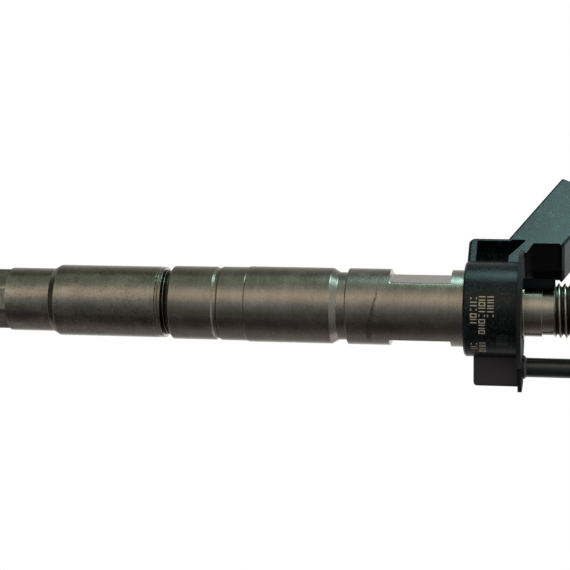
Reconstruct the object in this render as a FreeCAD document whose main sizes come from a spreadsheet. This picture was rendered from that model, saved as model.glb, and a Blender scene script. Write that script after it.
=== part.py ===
"""Piezo common-rail fuel injector, as an assembly of its separate pieces.

Frame: +Z runs along the injector from the nozzle to the fuel inlet, with z = 0 on the lower face of the
copper combustion seal, where the injector stands in the cylinder head. +X points to the side that the
electrical connector leans to. All sizes are in millimetres.
"""

import FreeCAD
import Part

import os

import Sketcher
from FreeCAD import Rotation, Vector

# Driving dimensions. Heights are measured along Z from the seal's lower face.
SIZES = {
    # combustion seal
    "seal_inner": 3.75, "seal_outer": 7.5, "seal_thick": 1.5,
    # nozzle body
    "shank_radius": 3.5, "shank_end": -13.6, "shank_top": -0.4, "shank_relief": 3.3,
    "nose_radius": 1.5, "nose_height": -16.6, "tip_radius": 1.15, "tip_end": -18.0, "tip_round": 0.9,
    "nozzle_radius": 7.15, "nozzle_shoulder": 4.5, "nozzle_top": 26.0,
    "chamber_radius": 4.0, "chamber_floor": 7.4, "throat_radius": 2.3, "throat_low": 3.5, "throat_top": 5.7,
    "nozzle_feed_in": 2.2, "nozzle_feed_down": 6.0, "guide_bore": 2.02, "guide_low": -4.0,
    "stem_bore": 2.05, "seat_top": -12.52, "seat_radius": 0.5, "seat_low": -15.2, "sac_end": -16.3,
    "spray_radius": 0.09, "spray_length": 4.0, "spray_height": -15.75, "spray_count": 8, "spray_angle": 72.0,
    # needle
    "needle_point": -15.7, "needle_seat_low": -15.14, "needle_seat_top": -13.23, "needle_stem": 1.6,
    "needle_guide": 2.0, "needle_guide_low": -3.6, "needle_guide_top": 3.2, "needle_shaft": 1.85,
    "needle_collar": 2.9, "needle_collar_low": 9.5, "needle_collar_top": 10.5, "needle_top": 24.5,
    "needle_flat": 1.72,
    "shim_outer": 3.5, "shim_inner": 2.1, "shim_top": 11.3,
    "sleeve_outer": 3.4, "sleeve_inner": 2.02, "sleeve_low": 19.0, "sleeve_flange": 3.8, "sleeve_step": 20.6,
    "spring_mean": 2.85, "spring_wire": 0.42, "spring_pitch": 1.55,
    # plates between nozzle and injector body
    "plate_radius": 7.15, "throttle_top": 29.0, "valve_plate_top": 36.5,
    "throttle_radius": 0.2, "feed_radius": 0.8, "feed_circle": 5.6,
    "dowel_radius": 0.75, "dowel_hole": 0.77, "dowel_circle": 5.6, "dowel_low": 23.4,
    "dowel_first": 125.0, "dowel_second": 215.0, "dowel_length": 15.6, "dowel_depth": 2.8,
    # servo valve; its axis and the actuator's are set off from the injector's own
    "actuator_offset": 1.2, "valve_bore": 1.3, "valve_chamber": 2.4, "valve_seat_top": 32.4,
    "valve_seat_low": 31.6, "valve_stem": 1.28, "valve_head": 2.1, "valve_head_low": 30.6,
    "valve_cone_low": 31.8, "valve_cone_top": 32.37, "valve_top": 37.6,
    "valve_spring_mean": 1.5, "valve_spring_wire": 0.2, "valve_spring_pitch": 0.52,
    # retaining nut
    "nut_end": 1.5, "nut_hole": 3.6, "nut_nose": 7.3, "nut_nose_top": 3.0, "nut_small": 8.35,
    "nut_flat_top": 16.75, "nut_flats": 15.7, "nut_flat_angle": 134.0,
    "nut_step_low": 28.5, "nut_step_top": 30.2, "nut_large": 9.35, "nut_top": 58.75, "nut_mouth": 58.0,
    "nut_groove_low": 57.2, "nut_groove_top": 57.8, "nut_groove_flank": 0.19, "nut_groove_floor": 8.95,
    "nut_groove_step": 0.72, "nut_rim": 9.3,
    "nut_bore": 7.25, "nut_bore_top": 36.3, "nut_minor": 8.1, "nut_major": 8.55,
    # fine thread between nut and injector body
    "fine_crest": 8.5, "fine_root": 8.05, "fine_pitch": 1.0, "fine_low": 42.0, "fine_turns": 18,
    "fine_crest_half": 0.07, "fine_root_half": 0.33, "fine_gap": 0.04,
    # injector body
    "foot_radius": 7.9, "thread_end": 60.0, "lower_chamfer": 61.05, "lower_radius": 9.6,
    "ring_low": 72.3, "ring_wide": 72.8, "ring_radius": 9.25, "ring_top": 73.9, "middle_radius": 9.65,
    "upper_low": 80.9, "upper_edge": 0.2, "upper_radius": 9.85, "neck_chamfer": 103.1, "neck_low": 104.9,
    "neck_radius": 8.78, "neck_top": 107.0, "neck_exit": 107.4, "shoulder": 146.0, "stub_low": 147.6,
    "stub_radius": 7.6, "stub_top": 152.5, "inlet_radius": 6.75, "inlet_step": 157.0, "relief_radius": 6.3,
    "relief_top": 159.9, "inlet_crest": 6.95, "inlet_crest_low": 160.4, "inlet_crest_top": 171.6,
    "inlet_end": 172.9, "inlet_nose": 5.9, "inlet_root": 6.05, "inlet_pitch": 1.5, "inlet_turns": 7,
    "inlet_first": 161.2, "inlet_root_half": 0.12, "inlet_crest_half": 0.62,
    "flat_low": 118.25, "flat_top": 134.0, "clamp_flats": 15.0, "clamp_angle": 54.6,
    "actuator_bore": 4.9, "actuator_bore_top": 112.0, "filter_bore": 1.75, "filter_floor": 143.0,
    "seat_mouth": 4.0, "seat_floor": 169.0, "feed_turn": 118.0,
    "wire_bore": 1.0, "wire_across": 3.6, "wire_side": 2.0, "wire_top": 145.0,
    "return_bore": 0.8, "return_circle": 5.9, "return_cross": 145.0, "return_cross_bore": 1.2,
    "gland_low": 140.0, "gland_top": 141.9, "gland_radius": 8.6, "gland_seal": 0.62,
    # hydraulic coupler
    "carrier_inner": 2.6, "carrier_outer": 4.7, "carrier_top": 40.0,
    "coupler_low_bore": 1.75, "coupler_high_bore": 2.15, "coupler_step": 46.5, "coupler_top": 54.0,
    "coupler_outer": 4.6, "coupler_neck": 2.9, "coupler_shoulder": 46.0,
    "valve_piston": 1.73, "valve_piston_top": 45.2, "coupler_piston": 2.13, "coupler_piston_low": 46.8,
    "piston_head": 4.3, "piston_head_low": 56.0, "piston_head_top": 58.0,
    "coupler_spring_mean": 3.6, "coupler_spring_wire": 0.4, "coupler_spring_pitch": 1.7,
    # piezo actuator
    "foot_step": 60.5, "foot_neck": 3.85, "stack_low": 62.0, "stack_side": 5.2, "stack_top": 100.0,
    "tube_inner": 3.9, "tube_outer": 4.3, "tube_top": 102.0, "head_radius": 4.6, "head_top": 110.0,
    "slot_rows": 11, "slot_high": 0.9, "slot_wide": 3.6, "slot_first": 64.0, "slot_step": 3.4,
    "spacer_inner": 4.2, "spacer_outer": 4.8,
    "pin_radius": 0.5, "pin_sleeve_inner": 0.55, "pin_sleeve_outer": 0.95, "pin_low": 106.0,
    "pin_top": 144.0, "pin_hole": 0.6, "pin_sleeve_low": 112.5, "pin_sleeve_top": 143.5,
    # edge filter
    "filter_radius": 1.72, "filter_low": 146.0, "filter_top": 166.0, "filter_nose": 0.9,
    "flute_wide": 0.6, "flute_deep": 1.15, "flute_land": 2.5, "flute_count": 6,
    # connector housing
    "collar_radius": 12.2, "collar_low": 137.35, "collar_edge": 0.5,
    "collar_bore": 9.87, "shoulder_gap": 0.02,
    "flange_radius": 15.2, "flange_low": 150.95, "flange_top": 152.0, "stub_bore": 7.62,
    "arm_root": 144.5, "arm_angle": 61.0, "arm_start": 12.0, "arm_length": 45.4, "arm_depth": 13.6,
    "arm_width": 13.5, "arm_round": 0.8, "mouth_round": 0.35,
    "frame_inner": 9.0, "frame_outer": 19.4, "frame_corner": 1.8, "frame_join": 150.6,
    "window_low": 139.5, "window_floor": 9.3, "window_roof": 18.3, "window_bend": 148.2, "window_depth": 4.4,
    "window_tip": 151.9, "window_tip_roof": 18.8, "window_tip_floor": 18.2, "window_waist": 12.7,
    "window_right": 147.9, "rib_low": 12.75, "rib_thick": 0.4, "rib_high": 0.8,
    "recess_roof": 17.6, "recess_low": 154.05, "recess_top": 160.7, "gusset_foot": 13.95, "gusset_top": 152.3,
    "lip_radius": 16.4, "lip_top": 161.4, "recess_floor": 7.0,
    "tongue_inner": 7.2, "tongue_outer": 8.0, "tongue_low": 151.5, "tongue_start": 152.55,
    "tongue_top": 160.0, "lobe_angle": 240.0, "lobe_half": 5.2, "lobe_reach": 21.05, "lobe_round": 2.0,
    "block_half": 4.1, "block_reach": 19.75, "block_low": 139.6, "block_round": 1.5, "block_foot": 0.9,
    "tag_angle": 173.0, "tag_high": 3.0, "tag_wide": 3.2, "tag_low": 145.8, "tag_raise": 0.25,
    "tag_deep": 1.5,
    # connector socket and its terminals
    "socket_wide": 10.4, "socket_deep": 10.4, "socket_length": 15.0, "socket_round": 1.2,
    "blade_wide": 1.5, "blade_thick": 0.8, "blade_gap": 0.03, "strip_start": 2.6, "strip_sink": 1.5,
    "jog_low": 26.0, "jog_high": 27.2, "jog_middle": 0.75, "blade_end": 39.0, "channel_length": 9.5,
    # return spigot
    "spigot_reach": 15.4, "spigot_radius": 2.52, "spigot_bore": 1.4, "spigot_low": 146.5, "spigot_top": 171.0,
    "spigot_flare": 3.1, "flare_top": 152.5, "flare_neck": 153.1, "spigot_root": 2.9, "spigot_root_gap": 0.02,
    "bead_low": 165.4, "bead_top": 167.2, "bead_radius": 2.95, "bead_slope": 0.4, "spigot_nose": 2.0,
    "spigot_gland_low": 148.0, "spigot_gland_top": 149.7, "spigot_gland": 2.05, "spigot_seal": 0.42,
}

HALF_OCTAGON = 22.5    # degrees from the middle of a flat to its corner

doc = FreeCAD.newDocument("fuel_injector")
sheet = doc.addObject("Spreadsheet::Sheet", "sizes")
for row, (alias, number) in enumerate(SIZES.items(), start=1):
    sheet.set(f"A{row}", alias)
    sheet.set(f"B{row}", str(number))
    sheet.setAlias(f"B{row}", alias)
doc.recompute()


# ---------------------------------------------------------------- helpers

def measure(terms):
    """The value of a sum of named sizes, such as "nut_top - nut_mouth"."""
    total, sign = 0.0, 1.0
    for word in terms.split():
        if word in "+-":
            sign = 1.0 if word == "+" else -1.0
        elif word != "0":
            total += sign * SIZES[word]
    return total


def formula(terms):
    """The same sum as an expression on the spreadsheet's cells."""
    return " ".join(word if word in "+-0" else "sizes." + word for word in terms.split())


def bind(thing, **sizes):
    """Ties properties of an object to sums of cells."""
    for name, terms in sizes.items():
        thing.setExpression(name, formula(terms))
    return thing


def move(thing, across="0", side="0", up="0"):
    """Ties an object's position to sums of cells."""
    for axis, terms in zip("xyz", (across, side, up)):
        thing.setExpression(f".Placement.Base.{axis}", formula(terms))
    return thing


def move_polar(thing, circle, angle, up):
    """Puts an object on a circle about the injector's axis, at an angle in degrees from +X."""
    thing.setExpression(".Placement.Base.x", f"sizes.{circle} * cos(sizes.{angle} * 1 deg)")
    thing.setExpression(".Placement.Base.y", f"sizes.{circle} * sin(sizes.{angle} * 1 deg)")
    thing.setExpression(".Placement.Base.z", formula(up))
    return thing


def origin_plane(body, role):
    return next(f for f in body.Origin.OriginFeatures if f.Role == role)


def new_sketch(body, name, plane="XZ_Plane"):
    sketch = body.newObject("Sketcher::SketchObject", name)
    sketch.AttachmentSupport = (origin_plane(body, plane), [""])
    sketch.MapMode = "FlatFace"
    return sketch


def fix_point(sketch, edge, end, across, up):
    """Holds a point of a sketch at sums of cells, or on an axis where the sum is 0."""
    for kind, axis, terms in (("DistanceX", -2, across), ("DistanceY", -1, up)):
        if terms == "0":
            sketch.addConstraint(Sketcher.Constraint("PointOnObject", edge, end, axis))
            continue
        rule = sketch.addConstraint(Sketcher.Constraint(kind, -1, 1, edge, end, measure(terms)))
        sketch.setExpression(f"Constraints[{rule}]", formula(terms))


def draw_outline(sketch, points):
    """Draws a closed outline through points given as pairs of sums of cells."""
    corners = [Vector(measure(across), measure(up), 0) for across, up in points]
    count = len(corners)
    sketch.addGeometry([Part.LineSegment(corners[i], corners[(i + 1) % count]) for i in range(count)])
    sketch.addConstraint([Sketcher.Constraint("Coincident", i, 2, (i + 1) % count, 1) for i in range(count)])
    for i, (across, up) in enumerate(points):
        fix_point(sketch, i, 1, across, up)


def turned(name, points, feature="PartDesign::Revolution", body=None):
    """A piece turned about Z from its outline in radius and height, or a groove turned into one."""
    body = body or doc.addObject("PartDesign::Body", name)
    sketch = new_sketch(body, name + "_outline")
    draw_outline(sketch, points)
    turn = body.newObject(feature, name + "_turn")
    turn.Profile = sketch
    turn.ReferenceAxis = (sketch, ["V_Axis"])
    turn.Angle = 360
    body.Tip = turn
    doc.recompute()
    return body


def repeat_up(body, step, count):
    """Repeats a body's last feature upwards, such as the grooves of a thread."""
    pattern = body.newObject("PartDesign::LinearPattern", body.Name + "_repeat")
    pattern.Originals = [body.Tip]
    pattern.Direction = (body.Tip.Profile[0], ["V_Axis"])
    pattern.Length = SIZES[step] * (SIZES[count] - 1)
    pattern.setExpression("Length", f"sizes.{step} * (sizes.{count} - 1)")
    pattern.Occurrences = int(SIZES[count])
    body.Tip = pattern
    doc.recompute()


def rounded(body, radius, picks):
    """Rounds the edges of a body that picks() chooses."""
    base = body.Tip
    names = [f"Edge{i}" for i, edge in enumerate(base.Shape.Edges, start=1) if picks(edge)]
    fillet = body.newObject("PartDesign::Fillet", body.Name + "_round")
    fillet.Base = (base, names)
    bind(fillet, Radius=radius)
    body.Tip = fillet
    doc.recompute()


def coil(name, mean, wire, pitch, low, top):
    """A coil spring between two heights."""
    body = doc.addObject("PartDesign::Body", name)
    sketch = new_sketch(body, name + "_wire")
    start = Vector(measure(mean), measure(low) + measure(wire), 0)
    sketch.addGeometry(Part.Circle(start, Vector(0, 0, 1), measure(wire)))
    fix_point(sketch, 0, 3, mean, f"{low} + {wire}")
    rule = sketch.addConstraint(Sketcher.Constraint("Radius", 0, measure(wire)))
    sketch.setExpression(f"Constraints[{rule}]", formula(wire))
    helix = body.newObject("PartDesign::AdditiveHelix", name + "_helix")
    helix.Profile = sketch
    helix.ReferenceAxis = (sketch, ["V_Axis"])
    helix.Mode = 0
    helix.Pitch = measure(pitch)
    helix.Height = measure(top) - measure(low) - 2 * measure(wire)
    bind(helix, Pitch=pitch, Height=f"{top} - {low} - {wire} - {wire}")
    body.Tip = helix
    doc.recompute()
    return body


def drill(name, radius, length, direction=(0, 0, 1)):
    """A drill to cut with: a cylinder that runs from its base along a direction."""
    tool = doc.addObject("Part::Cylinder", name)
    tool.Placement.Rotation = Rotation(Vector(0, 0, 1), Vector(*direction))
    return bind(tool, Radius=radius, Height=length)


def block(name, length, width, height, turn=None):
    """A box, turned about its own origin."""
    box = doc.addObject("Part::Box", name)
    if turn:
        box.Placement.Rotation = turn
    return bind(box, Length=length, Width=width, Height=height)


def fused(name, shapes):
    if len(shapes) == 1:
        return shapes[0]
    joined = doc.addObject("Part::MultiFuse", name)
    joined.Shapes = shapes
    return joined


def group(name, shapes):
    """Separate solids that make one node."""
    compound = doc.addObject("Part::Compound", name)
    compound.Links = shapes
    return compound


def cut(name, base, tools):
    """A piece with one or more tools cut out of it."""
    result = doc.addObject("Part::Cut", name)
    result.Base = base
    result.Tool = fused(name + "_tools", tools)
    return result


def circles_at(radius, up):
    """Picks the round edges of a turned piece at one radius and height."""
    def picks(edge):
        curve = edge.Curve
        return (isinstance(curve, Part.Circle) and abs(curve.Radius - measure(radius)) < 1e-4
                and abs(curve.Center.z - measure(up)) < 1e-4)
    return picks


nodes = []


def finished(piece):
    """Marks an object as one of the injector's pieces."""
    piece.Label = piece.Name
    nodes.append(piece)
    return piece


# ---------------------------------------------------------------- nozzle

def make_seal():
    finished(turned("seal_washer", [
        ("seal_inner", "0"), ("seal_outer", "0"), ("seal_outer", "seal_thick"),
        ("seal_inner", "seal_thick")]))


def make_nozzle_body():
    blank = turned("nozzle_blank", [
        ("0", "tip_end"), ("tip_radius", "tip_end"), ("nose_radius", "nose_height"),
        ("shank_radius", "shank_end"), ("shank_radius", "shank_top"),
        ("shank_relief", "shank_top"), ("shank_relief", "nozzle_shoulder"),
        ("nozzle_radius", "nozzle_shoulder"), ("nozzle_radius", "nozzle_top"),
        ("chamber_radius", "nozzle_top"), ("chamber_radius", "chamber_floor"),
        ("throat_radius", "throat_top"), ("throat_radius", "throat_low"),
        ("guide_bore", "throat_low"), ("guide_bore", "guide_low"), ("stem_bore", "guide_low"),
        ("stem_bore", "seat_top"), ("seat_radius", "seat_low"), ("seat_radius", "sac_end"), ("0", "sac_end")])
    rounded(blank, "tip_round", circles_at("tip_radius", "tip_end"))
    tools = []
    for i in range(int(SIZES["spray_count"])):
        around = Rotation(Vector(0, 0, 1), 360.0 * i / SIZES["spray_count"])
        lean = Rotation(Vector(0, 1, 0), 180.0 - SIZES["spray_angle"])
        spray = drill(f"spray_drill_{i + 1}", "spray_radius", "spray_length")
        spray.Placement.Rotation = around * lean
        tools.append(move(spray, up="spray_height"))
    feed = drill("nozzle_feed_drill", "feed_radius", "feed_circle + feed_circle",
                 (SIZES["nozzle_feed_in"], 0, -SIZES["nozzle_feed_down"]))
    feed.setExpression(".Placement.Base.x", "-sizes.feed_circle")
    feed.setExpression(".Placement.Base.z", "sizes.nozzle_top")
    tools += [feed] + dowel_drills("nozzle", "dowel_hole", "nozzle_top - dowel_depth", "dowel_depth")
    finished(cut("nozzle_body", blank, tools))


def dowel_drills(piece, radius, low, length):
    """The two dowel positions, as drills or as the pins themselves."""
    drills = []
    for number, angle in enumerate(("dowel_first", "dowel_second"), start=1):
        hole = drill(f"{piece}_dowel_{number}", radius, length)
        drills.append(move_polar(hole, "dowel_circle", angle, low))
    return drills


def make_dowels():
    finished(group("dowel_pins", dowel_drills("pin", "dowel_radius", "dowel_low", "dowel_length")))


def make_needle():
    blank = turned("needle_blank", [
        ("0", "needle_point"), ("seat_radius", "needle_seat_low"), ("needle_stem", "needle_seat_top"),
        ("needle_stem", "needle_guide_low"), ("needle_guide", "needle_guide_low"),
        ("needle_guide", "needle_guide_top"), ("needle_shaft", "needle_guide_top"),
        ("needle_shaft", "needle_collar_low"), ("needle_collar", "needle_collar_low"),
        ("needle_collar", "needle_collar_top"), ("needle_guide", "needle_collar_top"),
        ("needle_guide", "needle_top"), ("0", "needle_top")])
    flats = []
    for i in range(3):
        flat = block(f"needle_flat_{i + 1}", "needle_guide", "needle_guide + needle_guide",
                     "needle_guide_top - needle_guide_low", Rotation(Vector(0, 0, 1), 120.0 * i))
        turn = flat.Placement.Rotation
        corner = turn.multVec(Vector(SIZES["needle_flat"], -SIZES["needle_guide"], 0))
        flat.Placement.Base = corner
        flat.setExpression(".Placement.Base.z", "sizes.needle_guide_low")
        flats.append(flat)
    finished(cut("nozzle_needle", blank, flats))


def make_nozzle_inner_pieces():
    finished(turned("spring_shim", [
        ("shim_inner", "needle_collar_top"), ("shim_outer", "needle_collar_top"),
        ("shim_outer", "shim_top"), ("shim_inner", "shim_top")]))
    finished(turned("needle_sleeve", [
        ("sleeve_inner", "sleeve_low"), ("sleeve_flange", "sleeve_low"), ("sleeve_flange", "sleeve_step"),
        ("sleeve_outer", "sleeve_step"), ("sleeve_outer", "nozzle_top"), ("sleeve_inner", "nozzle_top")]))
    finished(coil("needle_spring", "spring_mean", "spring_wire", "spring_pitch", "shim_top", "sleeve_low"))


# ---------------------------------------------------------------- plates and servo valve

def make_plates():
    throttle = turned("throttle_blank", [
        ("0", "nozzle_top"), ("plate_radius", "nozzle_top"), ("plate_radius", "throttle_top"),
        ("0", "throttle_top")])
    thickness = "throttle_top - nozzle_top"
    outlet = move(drill("outlet_throttle", "throttle_radius", thickness), up="nozzle_top")
    feed = move(drill("throttle_feed", "feed_radius", thickness), up="nozzle_top")
    feed.setExpression(".Placement.Base.x", "-sizes.feed_circle")
    finished(cut("throttle_plate", throttle, [outlet, feed]
                 + dowel_drills("throttle", "dowel_hole", "nozzle_top", thickness)))

    plate = turned("valve_plate_blank", [
        ("0", "throttle_top"), ("plate_radius", "throttle_top"), ("plate_radius", "valve_plate_top"),
        ("0", "valve_plate_top")])
    thickness = "valve_plate_top - throttle_top"
    feed = move(drill("valve_plate_feed", "feed_radius", thickness), up="throttle_top")
    feed.setExpression(".Placement.Base.x", "-sizes.feed_circle")
    chamber = move(turned("valve_chamber_tool", [
        ("0", "throttle_top"), ("valve_chamber", "throttle_top"), ("valve_chamber", "valve_seat_low"),
        ("valve_bore", "valve_seat_top"), ("valve_bore", "valve_plate_top"), ("0", "valve_plate_top")]),
        across="actuator_offset")
    finished(cut("valve_plate", plate, [feed, chamber]
                 + dowel_drills("valve_plate", "dowel_hole", "throttle_top", thickness)))


def make_servo_valve():
    finished(move(turned("valve_pin", [
        ("0", "valve_head_low"), ("valve_head", "valve_head_low"), ("valve_head", "valve_cone_low"),
        ("valve_stem", "valve_cone_top"), ("valve_stem", "valve_top"), ("0", "valve_top")]),
        across="actuator_offset"))
    finished(move(coil("valve_spring", "valve_spring_mean", "valve_spring_wire", "valve_spring_pitch",
                       "throttle_top", "valve_head_low"), across="actuator_offset"))


# ---------------------------------------------------------------- retaining nut

def make_nut():
    body = turned("nut_blank", [
        ("nut_hole", "nut_end"), ("nut_nose", "nut_end"), ("nut_small", "nut_nose_top"),
        ("nut_small", "nut_step_low"), ("nut_large", "nut_step_top"),
        ("nut_large", "nut_groove_low"), ("nut_groove_floor", "nut_groove_low + nut_groove_flank"),
        ("nut_groove_floor", "nut_groove_top - nut_groove_flank"), ("nut_rim", "nut_groove_top"),
        ("nut_rim", "nut_groove_low + nut_groove_step"),
        ("nut_groove_floor", "nut_groove_low + nut_groove_step + nut_groove_flank"),
        ("nut_groove_floor", "nut_groove_top + nut_groove_step - nut_groove_flank"),
        ("nut_rim", "nut_groove_top + nut_groove_step"), ("nut_rim", "nut_top"),
        ("nut_major", "nut_top"), ("nut_major", "nut_mouth"), ("nut_minor", "nut_mouth - fine_pitch"),
        ("nut_minor", "nut_bore_top"),
        ("nut_bore", "nut_bore_top"), ("nut_bore", "nozzle_shoulder"), ("nut_hole", "nozzle_shoulder")])
    turned("nut_thread", [
        ("nut_minor - fine_gap", "fine_low - fine_root_half"),
        ("nut_major", "fine_low - fine_crest_half - fine_gap"),
        ("nut_major", "fine_low + fine_crest_half + fine_gap"),
        ("nut_minor - fine_gap", "fine_low + fine_root_half")],
        "PartDesign::Groove", body)
    repeat_up(body, "fine_pitch", "fine_turns")
    ring = doc.addObject("Part::Prism", "nut_wrench_octagon")
    ring.Polygon = 8
    ring.setExpression("Circumradius", f"sizes.nut_flats / 2 / cos({HALF_OCTAGON} deg)")
    ring.setExpression("Height", "sizes.nut_flat_top")
    ring.Placement.Rotation = Rotation(Vector(0, 0, 1), SIZES["nut_flat_angle"] + HALF_OCTAGON)
    disc = drill("nut_wrench_disc", "flange_radius", "nut_flat_top")
    waste = doc.addObject("Part::Cut", "nut_wrench_waste")
    waste.Base = disc
    waste.Tool = ring
    finished(cut("nozzle_nut", body, [waste]))


# ---------------------------------------------------------------- injector body

def make_injector_body():
    body = turned("body_blank", [
        ("0", "valve_plate_top"), ("foot_radius", "valve_plate_top"),
        ("foot_radius", "fine_low - fine_root_half"), ("fine_crest", "fine_low - fine_crest_half"),
        ("fine_crest", "thread_end"),
        ("lower_radius", "lower_chamfer"), ("lower_radius", "ring_low"), ("ring_radius", "ring_wide"),
        ("ring_radius", "ring_top"), ("middle_radius", "ring_top"), ("middle_radius", "upper_low"),
        ("upper_radius", "upper_low + upper_edge"), ("upper_radius", "neck_chamfer"),
        ("neck_radius", "neck_low"), ("neck_radius", "neck_top"), ("upper_radius", "neck_exit"),
        ("upper_radius", "gland_low"), ("gland_radius", "gland_low"), ("gland_radius", "gland_top"),
        ("upper_radius", "gland_top"), ("upper_radius", "shoulder"), ("stub_radius", "stub_low"),
        ("stub_radius", "stub_top"), ("inlet_radius", "stub_top"), ("inlet_radius", "inlet_step"),
        ("relief_radius", "inlet_step"), ("relief_radius", "relief_top"),
        ("inlet_crest", "inlet_crest_low"), ("inlet_crest", "inlet_crest_top"), ("inlet_nose", "inlet_end"),
        ("seat_mouth", "inlet_end"), ("filter_bore", "seat_floor"), ("filter_bore", "filter_floor"),
        ("0", "filter_floor")])
    turned("fine_thread", [
        ("fine_crest + fine_gap", "fine_low + fine_crest_half"), ("fine_root", "fine_low + fine_root_half"),
        ("fine_root", "fine_low + fine_pitch - fine_root_half"),
        ("fine_crest + fine_gap", "fine_low + fine_pitch - fine_crest_half")],
        "PartDesign::Groove", body)
    repeat_up(body, "fine_pitch", "fine_turns")
    turned("inlet_thread", [
        ("inlet_crest + fine_gap", "inlet_first - inlet_crest_half"),
        ("inlet_root", "inlet_first - inlet_root_half"), ("inlet_root", "inlet_first + inlet_root_half"),
        ("inlet_crest + fine_gap", "inlet_first + inlet_crest_half")], "PartDesign::Groove", body)
    repeat_up(body, "inlet_pitch", "inlet_turns")

    tools = []
    # clamp flats
    for side in (0.0, 180.0):
        turn = Rotation(Vector(0, 0, 1), SIZES["clamp_angle"] + side)
        flat = block(f"clamp_flat_{int(side)}", "upper_radius", "flange_radius + flange_radius",
                     "flat_top - flat_low", turn)
        flat.Placement.Base = turn.multVec(Vector(SIZES["clamp_flats"] / 2, -SIZES["flange_radius"], 0))
        flat.setExpression(".Placement.Base.z", "sizes.flat_low")
        tools.append(flat)
    # bore of coupler and actuator
    tools.append(move(drill("actuator_drill", "actuator_bore", "actuator_bore_top - valve_plate_top"),
                      across="actuator_offset", up="valve_plate_top"))
    # high-pressure feed: straight up beside the actuator, then leaning to the filter's bore
    feed = drill("feed_drill", "feed_radius", "feed_turn - valve_plate_top + feed_radius")
    move(feed, up="valve_plate_top").setExpression(".Placement.Base.x", "-sizes.feed_circle")
    rise = SIZES["filter_floor"] + SIZES["filter_bore"] - SIZES["feed_turn"]
    lean = drill("feed_lean_drill", "feed_radius", "filter_floor + filter_bore - feed_turn",
                 (SIZES["feed_circle"], 0, rise))
    move(lean, up="feed_turn").setExpression(".Placement.Base.x", "-sizes.feed_circle")
    tools += [feed, lean]
    # bores of the two contact pins, and the channels that bring the terminals in from the side
    for name, side in (("a", "wire_side"), ("b", "0 - wire_side")):
        tools.append(move(drill(f"wire_drill_{name}", "wire_bore",
                                "wire_top - actuator_bore_top + wire_bore"),
                          across="wire_across", side=side, up="actuator_bore_top - wire_bore"))
    tools += [arm_bar(f"channel_{int(side)}", side, "strip_sink", "blade_wide + pin_radius",
                      "blade_thick + wire_bore", "strip_start - pin_radius", "channel_length")
              for side in (1, -1)]
    # return bore and its way out to the spigot
    tools.append(move_polar(drill("return_drill", "return_bore", "return_cross - valve_plate_top"),
                            "return_circle", "lobe_angle", "valve_plate_top"))
    tools.append(return_cross_drill("body_return"))
    tools += dowel_drills("body", "dowel_hole", "valve_plate_top", "dowel_depth")
    finished(cut("injector_body", body, tools))


def return_cross_drill(name):
    """The level bore from the return drilling to the spigot, cut through both body and housing."""
    out = Rotation(Vector(0, 0, 1), SIZES["lobe_angle"]).multVec(Vector(1, 0, 0))
    tool = drill(name + "_cross", "return_cross_bore", "spigot_reach - return_circle + return_bore", out)
    return move_polar(tool, "return_circle", "lobe_angle", "return_cross")


def arm_bar(name, side, across, wide, thick, start, length):
    """A bar along the connector arm: its place is set off across the arm and to one side of its middle."""
    turn = Rotation(Vector(0, 1, 0), SIZES["arm_angle"])
    bar = block(name, thick, wide, length, turn)
    corner = turn.multVec(Vector(
        measure(across) - measure(thick) / 2, side * SIZES["wire_side"] - measure(wide) / 2, measure(start)))
    bar.Placement.Base = corner + Vector(0, 0, SIZES["arm_root"])
    return bar


def terminal(name, side, gap):
    """One terminal: a strip out of the injector body, a jog to the socket's middle, and a blade."""
    wide = f"blade_wide + {gap} + {gap}"
    thick = f"blade_thick + {gap} + {gap}"
    strip = arm_bar(name + "_strip", side, "strip_sink", wide, thick, f"strip_start - {gap}",
                    f"jog_high - strip_start + {gap} + {gap}")
    blade = arm_bar(name + "_blade", side, "0", wide, thick, f"jog_low - {gap}",
                    f"blade_end - jog_low + {gap} + {gap}")
    jog = arm_bar(name + "_jog", side, "jog_middle", wide, f"strip_sink + {gap} + {gap}", f"jog_low - {gap}",
                  f"jog_high - jog_low + {gap} + {gap}")
    return fused(name, [strip, blade, jog])


# ---------------------------------------------------------------- hydraulic coupler

def make_coupler():
    def eccentric(piece):
        return finished(move(piece, across="actuator_offset"))

    eccentric(turned("coupler_carrier", [
        ("carrier_inner", "valve_plate_top"), ("carrier_outer", "valve_plate_top"),
        ("carrier_outer", "carrier_top"), ("carrier_inner", "carrier_top")]))
    eccentric(turned("coupler_sleeve", [
        ("coupler_low_bore", "carrier_top"), ("coupler_outer", "carrier_top"),
        ("coupler_outer", "coupler_shoulder"), ("coupler_neck", "coupler_shoulder"),
        ("coupler_neck", "coupler_top"), ("coupler_high_bore", "coupler_top"),
        ("coupler_high_bore", "coupler_step"), ("coupler_low_bore", "coupler_step")]))
    eccentric(turned("valve_piston", [
        ("0", "valve_top"), ("valve_piston", "valve_top"), ("valve_piston", "valve_piston_top"),
        ("0", "valve_piston_top")]))
    eccentric(turned("coupler_piston", [
        ("0", "coupler_piston_low"), ("coupler_piston", "coupler_piston_low"),
        ("coupler_piston", "piston_head_low"), ("piston_head", "piston_head_low"),
        ("piston_head", "piston_head_top"), ("0", "piston_head_top")]))
    eccentric(coil("coupler_spring", "coupler_spring_mean", "coupler_spring_wire", "coupler_spring_pitch",
                   "coupler_shoulder", "piston_head_low"))


# ---------------------------------------------------------------- piezo actuator

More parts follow.
